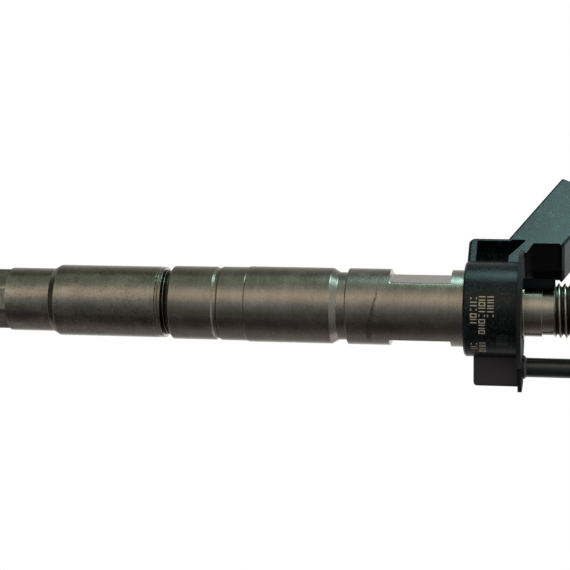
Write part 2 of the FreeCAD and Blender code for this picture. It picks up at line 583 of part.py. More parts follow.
def make_actuator():
    def eccentric(piece):
        return finished(move(piece, across="actuator_offset"))

    eccentric(turned("actuator_foot", [
        ("0", "piston_head_top"), ("tube_outer", "piston_head_top"), ("tube_outer", "foot_step"),
        ("foot_neck", "foot_step"), ("foot_neck", "stack_low"), ("0", "stack_low")]))
    stack = block("piezo_stack", "stack_side", "stack_side", "stack_top - stack_low")
    stack.setExpression(".Placement.Base.x", "sizes.actuator_offset - sizes.stack_side / 2")
    stack.setExpression(".Placement.Base.y", "-sizes.stack_side / 2")
    stack.setExpression(".Placement.Base.z", "sizes.stack_low")
    finished(stack)

    tube = turned("tube_blank", [
        ("tube_inner", "foot_step"), ("tube_outer", "foot_step"), ("tube_outer", "tube_top"),
        ("tube_inner", "tube_top")])
    slots = []
    for i in range(int(SIZES["slot_rows"])):
        turn = Rotation(Vector(0, 0, 1), 90.0 * (i % 2))
        slot = block(f"tube_slot_{i + 1}", "slot_wide", "tube_outer + tube_outer", "slot_high", turn)
        corner = turn.multVec(Vector(-SIZES["slot_wide"] / 2, -SIZES["tube_outer"], 0))
        height = SIZES["slot_first"] + i * SIZES["slot_step"]
        slot.Placement.Base = corner + Vector(0, 0, height)
        slots.append(slot)
    eccentric(cut("tube_spring", tube, slots))

    head = move(turned("head_blank", [
        ("0", "stack_top"), ("foot_neck", "stack_top"), ("foot_neck", "tube_top"),
        ("head_radius", "tube_top"), ("head_radius", "head_top"), ("0", "head_top")]),
            across="actuator_offset")
    holes = [move(drill(f"head_hole_{name}", "pin_hole", "head_top - pin_low"),
                  across="wire_across", side=side, up="pin_low")
             for name, side in (("a", "wire_side"), ("b", "0 - wire_side"))]
    finished(cut("actuator_head", head, holes))
    eccentric(turned("actuator_spacer", [
        ("spacer_inner", "head_top"), ("spacer_outer", "head_top"), ("spacer_outer", "actuator_bore_top"),
        ("spacer_inner", "actuator_bore_top")]))


def make_contacts():
    pins, sleeves = [], []
    for name, side in (("a", "wire_side"), ("b", "0 - wire_side")):
        place = {"across": "wire_across", "side": side}
        pins.append(move(drill(f"contact_{name}", "pin_radius", "pin_top - pin_low"), up="pin_low", **place))
        length = "pin_sleeve_top - pin_sleeve_low"
        outer = move(drill(f"sleeve_outer_{name}", "pin_sleeve_outer", length), up="pin_sleeve_low", **place)
        inner = move(drill(f"sleeve_inner_{name}", "pin_sleeve_inner", length), up="pin_sleeve_low", **place)
        sleeves.append(cut(f"pin_sleeve_{name}", outer, [inner]))
    finished(group("contact_pins", pins))
    finished(group("pin_insulators", sleeves))


# ---------------------------------------------------------------- inlet filter and body seal

def make_filter():
    rod = turned("filter_rod", [
        ("0", "filter_low"), ("filter_nose", "filter_low"), ("filter_radius", "filter_low + filter_nose"),
        ("filter_radius", "filter_top - filter_nose"), ("filter_nose", "filter_top"), ("0", "filter_top")])
    flutes = []
    for i in range(int(SIZES["flute_count"])):
        turn = Rotation(Vector(0, 0, 1), 360.0 * i / SIZES["flute_count"])
        flute = block(f"filter_flute_{i + 1}", "filter_radius", "flute_wide",
                      "filter_top - filter_low - flute_land", turn)
        flute.Placement.Base = turn.multVec(Vector(SIZES["flute_deep"], -SIZES["flute_wide"] / 2, 0))
        low = "filter_low" if i % 2 else "filter_low + flute_land"
        flute.setExpression(".Placement.Base.z", formula(low))
        flutes.append(flute)
    finished(cut("edge_filter", rod, flutes))


def make_ring(name, radius, wire, up, angle=None, reach=None):
    """An O-ring about the injector's axis, or about the return spigot's."""
    ring = doc.addObject("Part::Torus", name)
    ring.setExpression("Radius1", radius)
    ring.setExpression("Radius2", f"sizes.{wire}")
    if angle:
        move_polar(ring, reach, angle, "0")
    ring.setExpression(".Placement.Base.z", up)
    return finished(ring)


# ---------------------------------------------------------------- connector housing

def padded(name, points, thick):
    """A plate in the XZ plane, as thick each side of it."""
    body = doc.addObject("PartDesign::Body", name)
    sketch = new_sketch(body, name + "_outline")
    draw_outline(sketch, points)
    pad = body.newObject("PartDesign::Pad", name + "_pad")
    pad.Profile = sketch
    pad.SideType = "Symmetric"
    pad.Length = measure(thick)
    bind(pad, Length=thick)
    body.Tip = pad
    doc.recompute()
    return body


def lobe(name, half, reach, low, top, radius, foot=None):
    """A tongue with rounded corners that runs out from the axis to the return spigot's side. foot rounds its
    lower edges."""
    turn = Rotation(Vector(0, 0, 1), SIZES["lobe_angle"])
    box = block(name + "_box", reach, f"{half} + {half}", f"{top} - {low}", turn)
    box.Placement.Base = turn.multVec(Vector(0, -SIZES[half], 0))
    box.setExpression(".Placement.Base.z", formula(low))
    doc.recompute()
    corners = []
    for i, edge in enumerate(box.Shape.Edges, start=1):
        ends = [v.Point for v in edge.Vertexes]
        upright = abs(ends[0].x - ends[1].x) < 1e-6 and abs(ends[0].y - ends[1].y) < 1e-6
        far = max(Vector(end.x, end.y, 0).Length for end in ends) > SIZES[reach] - 1e-6
        if upright and far:
            corners.append((i, SIZES[radius], SIZES[radius]))
        elif foot and far and edge.CenterOfMass.z < measure(low) + 1e-6:
            corners.append((i, SIZES[foot], SIZES[foot]))
    fillet = doc.addObject("Part::Fillet", name)
    fillet.Base = box
    fillet.Edges = corners
    return fillet


def arm_box():
    """The box of the connector, leaning out from the axis, with its long edges and its mouth rounded."""
    turn = Rotation(Vector(0, 1, 0), SIZES["arm_angle"])
    along = turn.multVec(Vector(0, 0, 1))
    box = block("arm_block", "arm_depth", "arm_width", "arm_length - arm_start", turn)
    corner = turn.multVec(Vector(-SIZES["arm_depth"] / 2, -SIZES["arm_width"] / 2, 0))
    box.Placement.Base = corner + along * SIZES["arm_start"] + Vector(0, 0, SIZES["arm_root"])
    doc.recompute()
    rounds = []
    for i, edge in enumerate(box.Shape.Edges, start=1):
        ends = [v.Point for v in edge.Vertexes]
        run = (ends[1] - ends[0]).normalize()
        reach = (edge.CenterOfMass - Vector(0, 0, SIZES["arm_root"])).dot(along)
        if abs(run.dot(along)) > 0.999:
            rounds.append((i, SIZES["arm_round"], SIZES["arm_round"]))
        elif reach > SIZES["arm_length"] - 1e-3:
            rounds.append((i, SIZES["mouth_round"], SIZES["mouth_round"]))
    fillet = doc.addObject("Part::Fillet", "arm")
    fillet.Base = box
    fillet.Edges = rounds
    return fillet


def socket_tool():
    """The room inside the connector's mouth."""
    turn = Rotation(Vector(0, 1, 0), SIZES["arm_angle"])
    along = turn.multVec(Vector(0, 0, 1))
    box = block("socket_block", "socket_deep", "socket_wide", "socket_length + arm_round", turn)
    corner = turn.multVec(Vector(-SIZES["socket_deep"] / 2, -SIZES["socket_wide"] / 2, 0))
    floor = SIZES["arm_length"] - SIZES["socket_length"]
    box.Placement.Base = corner + along * floor + Vector(0, 0, SIZES["arm_root"])
    doc.recompute()
    rounds = []
    for i, edge in enumerate(box.Shape.Edges, start=1):
        ends = [v.Point for v in edge.Vertexes]
        if abs((ends[1] - ends[0]).normalize().dot(along)) > 0.999:
            rounds.append((i, SIZES["socket_round"], SIZES["socket_round"]))
    fillet = doc.addObject("Part::Fillet", "socket")
    fillet.Base = box
    fillet.Edges = rounds
    return fillet


def window_tools():
    """The pocket beside the collar, on both sides of its web, with a low rib along the web."""
    points = [("window_floor", "window_low"), ("window_roof", "window_low"), ("window_roof", "window_bend"),
              ("window_tip_roof", "window_bend + upper_edge"), ("window_tip_roof", "window_tip"),
              ("window_tip_floor", "window_tip"), ("window_waist", "window_right"),
              ("window_floor", "window_right")]
    tools = []
    for name, side in (("near", 1.0), ("far", -1.0)):
        body = padded(f"window_{name}", points, "window_depth + window_depth")
        body.Placement.Base = Vector(0, side * SIZES["arm_width"] / 2, 0)
        rib = block(f"rib_{name}", "rib_thick", "rib_high + rib_high", "window_right - window_low")
        web = SIZES["arm_width"] / 2 - SIZES["window_depth"]
        rib.Placement.Base = Vector(SIZES["rib_low"], side * web - SIZES["rib_high"], SIZES["window_low"])
        tools.append(cut(f"window_{name}_room", body, [rib]))
    return tools


def outer_corner(edge):
    """The corner of the frame plate that is furthest from the axis and nearest to the nozzle."""
    middle = edge.CenterOfMass
    return (edge.Length > SIZES["arm_width"] - 1e-3 and abs(middle.x - SIZES["frame_outer"]) < 1e-3
            and abs(middle.z - SIZES["collar_low"]) < 1e-3)


def frame_rim(edge):
    """The free edges of the frame plate's two sides."""
    middle = edge.CenterOfMass
    return (abs(abs(middle.y) - SIZES["arm_width"] / 2) < 1e-3 and middle.x > SIZES["frame_inner"] + 1e-3
            and middle.z < SIZES["frame_join"])


def make_housing():
    collar = turned("collar", [
        ("collar_bore", "collar_low"), ("collar_radius - collar_edge", "collar_low"),
        ("collar_radius", "collar_low + collar_edge"), ("collar_radius", "flange_low"),
        ("flange_radius", "flange_low"), ("flange_radius", "flange_top"), ("stub_bore", "flange_top"),
        ("stub_bore", "stub_low"), ("collar_bore", "shoulder + shoulder_gap")])
    frame = padded("frame_plate", [
        ("frame_inner", "collar_low"), ("frame_outer", "collar_low"), ("frame_outer", "frame_join"),
        ("frame_inner", "flange_top")], "arm_width")
    rounded(frame, "frame_corner", outer_corner)
    rounded(frame, "arm_round", frame_rim)
    recess = padded("recess", [
        ("recess_floor", "flange_top"), ("gusset_foot", "flange_top"), ("gusset_foot", "gusset_top"),
        ("recess_roof", "recess_low"), ("recess_roof", "recess_top"), ("lip_radius", "lip_top"),
        ("recess_floor", "lip_top")], "flange_radius + flange_radius")
    upper = cut("arm_with_recess", arm_box(), [recess])

    tongue = turned("tongue", [
        ("stub_bore", "tongue_low"), ("tongue_outer", "tongue_low"), ("tongue_outer", "tongue_top"),
        ("tongue_inner", "tongue_top"), ("tongue_inner", "tongue_start"), ("stub_bore", "tongue_start")])
    tongue.Tip.Angle = 180
    tongue.Tip.Midplane = True

    turn = Rotation(Vector(0, 0, 1), SIZES["tag_angle"])
    tag = block("tag", "tag_raise + tag_deep", "tag_wide", "tag_high", turn)
    tag.Placement.Base = turn.multVec(
        Vector(SIZES["collar_radius"] - SIZES["tag_deep"], -SIZES["tag_wide"] / 2, SIZES["tag_low"]))

    solid = fused("housing_solid", [
        collar, frame, upper, tongue, tag,
        lobe("return_block", "block_half", "block_reach", "block_low", "flange_top", "block_round",
             "block_foot"),
        lobe("flange_lobe", "lobe_half", "lobe_reach", "flange_low", "flange_top", "lobe_round")])

    core = turned("core", [
        ("0", "collar_low"), ("collar_bore", "collar_low"), ("collar_bore", "shoulder + shoulder_gap"),
        ("stub_bore", "stub_low"), ("stub_bore", "tongue_start"), ("tongue_inner", "tongue_start"),
        ("tongue_inner", "lip_top"), ("0", "lip_top")])
    spigot_hole = move_polar(turned("spigot_hole", [
        ("0", "return_cross - return_cross_bore"), ("spigot_bore", "return_cross - return_cross_bore"),
        ("spigot_bore", "spigot_low"), ("spigot_root + spigot_root_gap", "spigot_low"),
        ("spigot_root + spigot_root_gap", "flange_top"), ("0", "flange_top")]), "spigot_reach",
            "lobe_angle", "0")
    tools = window_tools() + [core, socket_tool(), spigot_hole, return_cross_drill("housing_return")]
    tools += [terminal("terminal_room_a", 1.0, "blade_gap"), terminal("terminal_room_b", -1.0, "blade_gap")]
    finished(cut("connector_housing", solid, tools))


def make_terminals():
    finished(terminal("terminal_a", 1.0, "0"))
    finished(terminal("terminal_b", -1.0, "0"))


# ---------------------------------------------------------------- return spigot

def make_spigot():
    spigot = move_polar(turned("return_spigot", [
        ("spigot_bore", "spigot_low"), ("spigot_root", "spigot_low"), ("spigot_root", "spigot_gland_low"),
        ("spigot_gland", "spigot_gland_low"), ("spigot_gland", "spigot_gland_top"),
        ("spigot_root", "spigot_gland_top"), ("spigot_root", "flange_top"), ("spigot_flare", "flange_top"),
        ("spigot_flare", "flare_top"), ("spigot_radius", "flare_neck"), ("spigot_radius", "bead_low"),
        ("bead_radius", "bead_low + bead_slope"), ("bead_radius", "bead_top - bead_slope"),
        ("spigot_radius", "bead_top"), ("spigot_radius", "spigot_top - bead_slope"),
        ("spigot_nose", "spigot_top"), ("spigot_bore", "spigot_top")]), "spigot_reach", "lobe_angle", "0")
    finished(spigot)


make_seal()
make_nozzle_body()
make_dowels()
make_needle()
make_nozzle_inner_pieces()
make_plates()
make_servo_valve()
make_nut()
make_injector_body()
make_coupler()
make_actuator()
make_contacts()
make_filter()
make_ring("body_seal", "sizes.gland_radius + sizes.gland_seal", "gland_seal",
          "(sizes.gland_low + sizes.gland_top) / 2")
make_housing()
make_terminals()
make_spigot()
make_ring("spigot_seal", "sizes.spigot_gland + sizes.spigot_seal", "spigot_seal",
          "(sizes.spigot_gland_low + sizes.spigot_gland_top) / 2", "lobe_angle", "spigot_reach")

doc.recompute()
for thing in doc.Objects:
    if "Invalid" in thing.State or "Error" in thing.State:
        raise SystemExit(f"{thing.Name} failed: {thing.State}")
os.makedirs("parts", exist_ok=True)
for piece in nodes:
    if piece.Shape.isNull() or not piece.Shape.isValid():
        raise SystemExit(f"{piece.Label} has no valid shape")
    piece.Shape.exportStep(f"parts/{piece.Label}.step")
    print(f"{piece.Label:20s} {len(piece.Shape.Solids)} solid(s) {piece.Shape.Volume:10.3f} mm3")
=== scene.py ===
"""Looks of the piezo fuel injector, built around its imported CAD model.

Sizes in this script are in millimetres until put() turns them into metres. The frame is the CAD model's:
+Z runs from the nozzle to the fuel inlet, with z = 0 on the lower face of the copper seal, and +X is the
connector's side.
"""

import math
import random

import bmesh
import bpy
from mathutils import Matrix, Vector


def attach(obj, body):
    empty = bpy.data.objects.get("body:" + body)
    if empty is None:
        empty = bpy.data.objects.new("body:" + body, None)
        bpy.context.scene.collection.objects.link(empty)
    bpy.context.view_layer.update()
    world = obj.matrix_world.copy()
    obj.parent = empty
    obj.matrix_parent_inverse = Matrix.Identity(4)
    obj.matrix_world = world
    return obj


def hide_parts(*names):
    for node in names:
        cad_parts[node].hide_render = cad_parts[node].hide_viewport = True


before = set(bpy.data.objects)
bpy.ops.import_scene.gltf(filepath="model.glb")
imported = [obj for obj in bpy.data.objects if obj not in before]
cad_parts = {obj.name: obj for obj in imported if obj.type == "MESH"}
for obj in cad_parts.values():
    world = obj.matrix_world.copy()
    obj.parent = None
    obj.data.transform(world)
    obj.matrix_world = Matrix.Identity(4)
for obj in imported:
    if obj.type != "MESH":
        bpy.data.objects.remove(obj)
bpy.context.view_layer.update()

MM = 0.001
COLUMNS = 180           # points round a turned piece
SHARP_EDGE = 28.0       # degrees between faces that still shade as one surface

# directions across the injector's axis, as angles from +X
FRONT = 134.0           # towards the camera
UP = 44.0               # up in the view
CLAMP_FLAT = 54.6
LOBE = 240.0

# copper seal
SEAL_HOLE, SEAL_RADIUS, SEAL_THICK = 3.75, 7.5, 1.5
# retaining nut
NUT_END, NUT_HOLE, NUT_NOSE, NUT_NOSE_HIGH = 1.5, 3.6, 7.3, 1.5
NUT_FLAT_TOP, NUT_FLAT_HALF = 16.75, 7.85
NUT_SMALL, NUT_LARGE, NUT_RIM, NUT_GROOVE = 8.35, 9.35, 9.3, 8.95
NUT_STEP_LOW, NUT_STEP_TOP, NUT_TOP = 28.5, 30.2, 58.75
NUT_SHOULDER, NUT_BORE, NUT_BORE_TOP = 4.5, 7.25, 36.3
NUT_THREAD_LOW, NUT_MINOR, NUT_MAJOR = 40.5, 8.1, 8.55
# injector body
FOOT_LOW, FOOT_RADIUS = 36.5, 7.9
FINE_LOW, FINE_PITCH, FINE_CREST, FINE_ROOT = 42.0, 1.0, 8.5, 8.05
FINE_START, FINE_END, FINE_END_RADIUS = 41.67, 60.0, 8.3
LOWER_RADIUS, RING_RADIUS, MIDDLE_RADIUS, BODY_RADIUS = 9.6, 9.25, 9.65, 9.85
NECK_RADIUS, GLAND_RADIUS = 8.78, 8.6
FLAT_LOW, FLAT_TOP, FLAT_HALF = 118.25, 134.0, 7.5
STUB_LOW, STUB_TOP, STUB_RADIUS, INLET_RADIUS = 147.6, 152.5, 7.6, 6.75
INLET_PITCH, INLET_CREST, INLET_ROOT, INLET_FIRST = 1.5, 6.95, 6.05, 161.53
INLET_LOW, INLET_TOP, INLET_RELIEF, INLET_END = 159.9, 172.0, 6.3, 172.9
# bores in the injector body
TOOL_LOW = 36.4                     # just below the foot, where the bores start
ACTUATOR_BORE, ACTUATOR_TOP, ACTUATOR_OFFSET = 4.9, 112.0, 1.2
FEED_BORE, FEED_OFFSET, FEED_BEND = 0.8, 5.6, 118.0
FILTER_BORE, FILTER_FLOOR = 1.75, 143.0
RETURN_CIRCLE, RETURN_BORE, RETURN_HIGH = 5.9, 1.2, 145.0
PIN_BORE, PIN_OFFSET, PIN_SPREAD = 1.0, 3.6, 2.0
DOWEL_BORE, DOWEL_CIRCLE, DOWEL_ANGLES, DOWEL_TOP = 0.77, 5.6, (125.0, 215.0), 39.3
# connector housing and return spigot
COLLAR_RADIUS = 12.2
FLANGE_LOW, FLANGE_TOP = 150.85, 152.0
SPIGOT_REACH, SPIGOT_BORE, SPIGOT_ROOT, SPIGOT_TUBE = 15.4, 1.4, 2.9, 2.52

HAIR = 1e-3                         # between two rings of points that meet at nearly one height
BLACK = (0.0, 0.0, 0.0, 1.0)


# ---------------------------------------------------------------- mesh helpers

def soften(outline, steps=4):
    """Rounds the corners of an outline in radius and height. A third number on a point is its rounding. Points
    close beside each rounding keep the long faces flat in their shading."""
    points = []
    for i, corner in enumerate(outline):
        here = Vector(corner[:2])
        if len(corner) < 3 or i in (0, len(outline) - 1):
            points.append(here)
            continue
        back = Vector(outline[i - 1][:2]) - here
        on = Vector(outline[i + 1][:2]) - here
        half = back.angle(on) / 2
        reach = min(corner[2] / math.tan(half), 0.45 * back.length, 0.45 * on.length)
        start, end = here + back.normalized() * reach, here + on.normalized() * reach
        hold = 0.03 + 0.3 * corner[2]
        if back.length > 2 * (reach + hold):
            points.append(start + back.normalized() * hold)
        for k in range(steps + 1):
            t = k / steps
            points.append(start * (1 - t) ** 2 + here * 2 * t * (1 - t) + end * t * t)
        if on.length > 2 * (reach + hold):
            points.append(end + on.normalized() * hold)
    return points


def vectors(*points):
    return [Vector(p) for p in points]


def ring(bm, radius, z, columns=COLUMNS):
    """A ring of points about the axis. Its radius may depend on the angle in degrees."""
    if not callable(radius) and radius < 1e-6:
        return [bm.verts.new((0.0, 0.0, z))]
    verts = []
    for j in range(columns):
        degrees = 360.0 * j / columns
        r = radius(degrees) if callable(radius) else radius
        a = math.radians(degrees)
        verts.append(bm.verts.new((r * math.cos(a), r * math.sin(a), z)))
    return verts


def join_rings(bm, low, high):
    if len(low) == 1 and len(high) == 1:
        return
    count = max(len(low), len(high))
    for j in range(count):
        k = (j + 1) % count
        if len(low) == 1:
            bm.faces.new((low[0], high[k], high[j]))
        elif len(high) == 1:
            bm.faces.new((low[j], low[k], high[0]))
        else:
            bm.faces.new((low[j], low[k], high[k], high[j]))


def turn_band(bm, outline, limit=None, columns=COLUMNS):
    """Turns an outline about the axis. limit(degrees, radius) cuts flats into it."""
    rings = []
    for r, z in outline:
        shape = (lambda degrees, r=r: limit(degrees, r)) if limit and r > 1e-6 else r
        rings.append(ring(bm, shape, z, columns))
    for low, high in zip(rings, rings[1:]):
        join_rings(bm, low, high)


def flats(half, first, count):
    """A limit that cuts flats at a distance from the axis, the first with its normal at an angle."""
    step = 360.0 / count

    def limit(degrees, r):
        off = (degrees - first + step / 2) % step - step / 2
        return min(r, half / max(math.cos(math.radians(off)), 1e-3))
    return limit


def thread_band(bm, low, top, pitch, groove, shape, start, end, fade, columns=COLUMNS):
    """A helical thread between two heights. groove is the height of a groove's middle at 0 degrees, shape
    lists the radius at distances from it, and start and end are the radii at the band's two ends."""
    reach = [p for p, _ in shape]
    phases = sorted({p for p in reach if p < pitch / 2} | {-p for p in reach if 0 < p < pitch / 2})
    turns = math.ceil((top - low) / pitch) + 3
    first = low - 2 * pitch + (groove - low) % pitch
    rows = [first + n * pitch + p for n in range(turns) for p in phases]
    per_turn = len(phases)

    def radius(height, z):
        off = abs((height - groove + pitch / 2) % pitch - pitch / 2)
        r = shape[-1][1]
        for (p, a), (q, b) in zip(shape, shape[1:]):
            if p <= off <= q:
                r = a + (b - a) * (off - p) / (q - p)
                break
        for edge, at in ((start, z - low), (end, top - z)):
            t = min(max(at / fade, 0.0), 1.0)
            r = edge + (r - edge) * t * t * (3 - 2 * t)
        return r

    grid = []
    for height in rows:
        line = []
        for j in range(columns):
            z = min(max(height + pitch * j / columns, low), top)
            r = radius(height, z)
            a = 2 * math.pi * j / columns
            line.append(bm.verts.new((r * math.cos(a), r * math.sin(a), z)))
        grid.append(line)
    for k in range(len(grid) - 1):
        for j in range(columns - 1):
            bm.faces.new((grid[k][j], grid[k][j + 1], grid[k + 1][j + 1], grid[k + 1][j]))
        a, b = min(k + per_turn, len(grid) - 1), min(k + 1 + per_turn, len(grid) - 1)
        if a != b:
            bm.faces.new((grid[k][-1], grid[a][0], grid[b][0], grid[k + 1][-1]))


def put(bm, name, at=(0, 0, 0)):
    """Makes an object from a mesh in millimetres, moved to a place."""
    bmesh.ops.translate(bm, verts=bm.verts, vec=at)
    bmesh.ops.remove_doubles(bm, verts=bm.verts, dist=2e-4)
    bmesh.ops.dissolve_degenerate(bm, edges=bm.edges, dist=1e-5)
    loose = [v for v in bm.verts if not v.link_faces]
    bmesh.ops.delete(bm, geom=loose, context="VERTS")
    bmesh.ops.recalc_face_normals(bm, faces=bm.faces)
    bmesh.ops.scale(bm, verts=bm.verts, vec=(MM, MM, MM))
    mesh = bpy.data.meshes.new(name)
    bm.to_mesh(mesh)
    bm.free()
    piece = bpy.data.objects.new(name, mesh)
    bpy.context.scene.collection.objects.link(piece)
    return piece


def smooth(piece):
    piece.data.shade_smooth()
    piece.data.set_sharp_from_angle(angle=math.radians(SHARP_EDGE))


def drill(radius, low, top, at=(0, 0), direction=None):
    """A tool to cut with: a cylinder along Z, or from its lower end along a direction."""
    bm = bmesh.new()
    length = top - low
    turn_band(bm, vectors((0, 0), (radius, 0), (radius, length), (0, length)), columns=48)
    if direction is not None:
        turn = Vector((0, 0, 1)).rotation_difference(Vector(direction)).to_matrix()
        bmesh.ops.rotate(bm, verts=bm.verts, cent=(0, 0, 0), matrix=turn)
    return put(bm, "tool", (at[0], at[1], low))


def bar(width, depth, length, frame_matrix):
    """A tool to cut with: a bar along its own Z, put in place by a matrix."""
    bm = bmesh.new()
    corners = [(-1, -1), (1, -1), (1, 1), (-1, 1)]
    rings = [[bm.verts.new((x * width / 2, y * depth / 2, z)) for x, y in corners] for z in (0.0, length)]
    join_rings(bm, *rings)
    bm.faces.new(rings[0][::-1])
    bm.faces.new(rings[1])
    bmesh.ops.transform(bm, matrix=frame_matrix, verts=bm.verts)
    return put(bm, "tool")


def carve(piece, tools):
    """Cuts the tools out of a piece."""
    for tool in tools:
        cut = piece.modifiers.new("cut", "BOOLEAN")
        cut.operation = "DIFFERENCE"
        cut.solver = "MANIFOLD"
        cut.object = tool
    bpy.context.view_layer.update()
    shaped = piece.evaluated_get(bpy.context.evaluated_depsgraph_get())
    mesh = bpy.data.meshes.new_from_object(shaped)
    piece.modifiers.clear()
    piece.data = mesh
    for tool in tools:
        bpy.data.objects.remove(tool)


def polar(radius, degrees):
    a = math.radians(degrees)
    return radius * math.cos(a), radius * math.sin(a)


# ---------------------------------------------------------------- material helpers

class Graph:
    """Adds nodes to a tree and links them. Inputs are given by name or place, as values or as other sockets."""

    def __init__(self, tree):
        self.tree = tree
        tree.nodes.clear()

    def add(self, kind, inputs=None, **settings):
        made = self.tree.nodes.new("ShaderNode" + kind)
        for name, value in settings.items():
            setattr(made, name, value)
        for key, value in (inputs or {}).items():
            socket = made.inputs[key]
            if isinstance(value, bpy.types.NodeSocket):
                self.tree.links.new(value, socket)
            else:
                socket.default_value = value
        return made

    def math(self, operation, a, b=0.0):
        return self.add("Math", {0: a, 1: b}, operation=operation).outputs[0]

    def plus(self, a, b):
        return self.math("ADD", a, b)

    def times(self, a, b):
        return self.math("MULTIPLY", a, b)

    def most(self, a, b):
        return self.math("MAXIMUM", a, b)

    def size(self, a):
        return self.math("ABSOLUTE", a)

    def parts(self, vector):
        """A vector's x, y and z, and its distance from the axis."""
        x, y, z = self.add("SeparateXYZ", {0: vector}).outputs
        return x, y, z, self.math("SQRT", self.plus(self.times(x, x), self.times(y, y)))

    def towards(self, x, y, degrees):
        """How far a place lies in a direction across the axis."""
        a, b = polar(1.0, degrees)
        return self.plus(self.times(x, a), self.times(y, b))

    def spread(self, value, low, high, to_low=0.0, to_high=1.0, kind="LINEAR"):
        """Maps a range of values onto another, and holds its two ends."""
        made = self.add("MapRange", {0: value, 1: low, 2: high, 3: to_low, 4: to_high}, interpolation_type=kind)
        return made.outputs[0]

    def noise(self, vector, size, detail=2.0, rough=0.5):
        """Noise with features of a size in millimetres, from 0 to 1 about 0.5."""
        made = self.add("TexNoise", {"Vector": vector, "Scale": 1.0 / size, "Detail": detail,
                                     "Roughness": rough})
        return made.outputs[0]

    def blend(self, amount, a, b):
        return self.add("Mix", {0: amount, 6: a, 7: b}, data_type="RGBA").outputs[2]

    def ramp(self, value, stops):
        made = self.add("ValToRGB", {0: value})
        ramp = made.color_ramp
        while len(ramp.elements) < len(stops):
            ramp.elements.new(0.5)
        for element, (place, colour) in zip(ramp.elements, stops):
            element.position = place
            element.color = (*colour, 1.0)
        return made.outputs[0]


def finish(name, dark, light, rough, metallic=0.0, blotch=4.0, grain=0.3, bump=0.006, rings=0.0, ring_size=0.35,
           wear=None, extra=None, pits=0.0, **shader):
    """A procedural finish: blotches and grain in its colour, roughness and bump, dark pits, turned rings, and
    worn edges. Sizes are in millimetres, and shader holds more of the shader's inputs."""
    material = bpy.data.materials.new(name)
    material.use_nodes = True
    g = Graph(material.node_tree)
    place = g.add("TexCoord").outputs["Object"]
    mm = g.add("VectorMath", {0: place, "Scale": 1.0 / MM}, operation="SCALE").outputs[0]
    patches = g.noise(mm, blotch, 4.0, 0.6)
    fine = g.noise(mm, grain, 3.0, 0.65)
    tone = g.plus(g.times(patches, 0.5), g.times(fine, 0.5))
    height = fine
    if rings:
        squeezed = g.add("VectorMath", {0: mm, 1: (0.06, 0.06, 1.0)}, operation="MULTIPLY").outputs[0]
        lines = g.noise(squeezed, ring_size, 3.0, 0.6)
        tone = g.plus(g.times(tone, 1.0 - rings), g.times(lines, rings))
        height = g.plus(g.times(fine, 1.0 - rings), g.times(lines, rings))
    colour = g.ramp(tone, [(0.38, dark), (0.62, light)])
    if pits:
        spots = g.spread(g.noise(mm, 1.6 * grain, 2.0, 0.7), 0.56, 0.72, 0.0, pits)
        colour = g.blend(spots, colour, BLACK)
    sheen = g.spread(g.plus(g.times(patches, 0.6), g.times(fine, 0.4)), 0.3, 0.7, rough[0], rough[1])
    if wear:
        edge = g.add("NewGeometry").outputs["Pointiness"]
        worn = g.spread(g.plus(edge, g.spread(patches, 0.3, 0.7, -0.02, 0.02)), 0.52, 0.58)
        colour = g.blend(worn, colour, (*wear, 1.0))
    if extra:
        colour, sheen, more = extra(g, mm, colour, sheen)
        shader = {**shader, **more}
    normal = g.add("Bump", {"Strength": 1.0, "Distance": bump * MM, "Height": height}).outputs[0]
    bsdf = g.add("BsdfPrincipled", {"Base Color": colour, "Roughness": sheen, "Normal": normal,
                                    "Metallic": metallic, **shader})
    out = g.add("OutputMaterial")
    g.tree.links.new(bsdf.outputs[0], out.inputs[0])
    return material


def stained(g, mm, colour, sheen):
    """Oil and painted shade in the roots of both threads, dirt and painted shade in the groove, painted light
    that lifts the inlet stub's colour, and the dark run mark that an oil drop left below the clamp flats."""
    x, y, z, round_axis = g.parts(mm)
    # oil and painted shade: the roots of both threads are darkened towards black, for the oil they hold and the
    # shade that falls in them
    fine = g.times(g.spread(round_axis, 8.3, 8.6, 1.0, 0.0, "SMOOTHSTEP"),
                   g.spread(z, FINE_END, FINE_END + 0.3, 1.0, 0.0))
    coarse = g.times(g.spread(round_axis, 6.15, 6.8, 0.95, 0.0, "SMOOTHSTEP"), g.spread(z, 160.0, 160.5))
    # dirt and painted shade at the foot of the groove, against its upper wall
    groove = g.times(g.spread(z, 73.3, 73.6, 0.0, 0.7),
                     g.times(g.spread(z, 73.88, 73.95, 1.0, 0.0), g.spread(round_axis, 9.5, 9.62, 1.0, 0.0)))
    oil_and_shade = g.most(g.most(fine, coarse), groove)
    # painted light: the inlet stub's colour is lifted towards a pale tan
    stub_light = g.spread(z, 147.0, 148.0, 0.0, 0.15)
    colour = g.blend(stub_light, colour, (0.80, 0.76, 0.66, 1.0))

    # the run mark's angle is 0 at +Y and grows towards -X, so the front of the view is at 44 degrees
    turn = g.math("DEGREES", g.math("ARCTAN2", g.times(x, -1.0), y))
    centre = g.plus(g.spread(turn, 10.0, 90.0, 114.9, 112.9, "SMOOTHSTEP"), g.times(g.noise(mm, 2.2), 0.9))
    width = g.spread(turn, 15.0, 85.0, 0.25, 0.85)
    near = g.math("DIVIDE", g.size(g.math("SUBTRACT", z, centre)), width)
    line = g.spread(near, 0.35, 1.25, 1.0, 0.0, "SMOOTHSTEP")
    span = g.times(g.spread(turn, 6.0, 22.0, 0.0, 1.0, "SMOOTHSTEP"),
                   g.spread(turn, 92.0, 118.0, 1.0, 0.0, "SMOOTHSTEP"))
    run = g.times(g.times(line, span), g.spread(g.noise(mm, 0.5), 0.3, 0.6, 0.1, 0.6))
    # the oil, the painted shade and the run mark darken the colour towards black
    dark = g.most(g.times(oil_and_shade, 0.94), run)
    colour = g.blend(dark, colour, (0.006, 0.006, 0.006, 1.0))
    return colour, g.plus(sheen, g.times(dark, 0.2)), {}


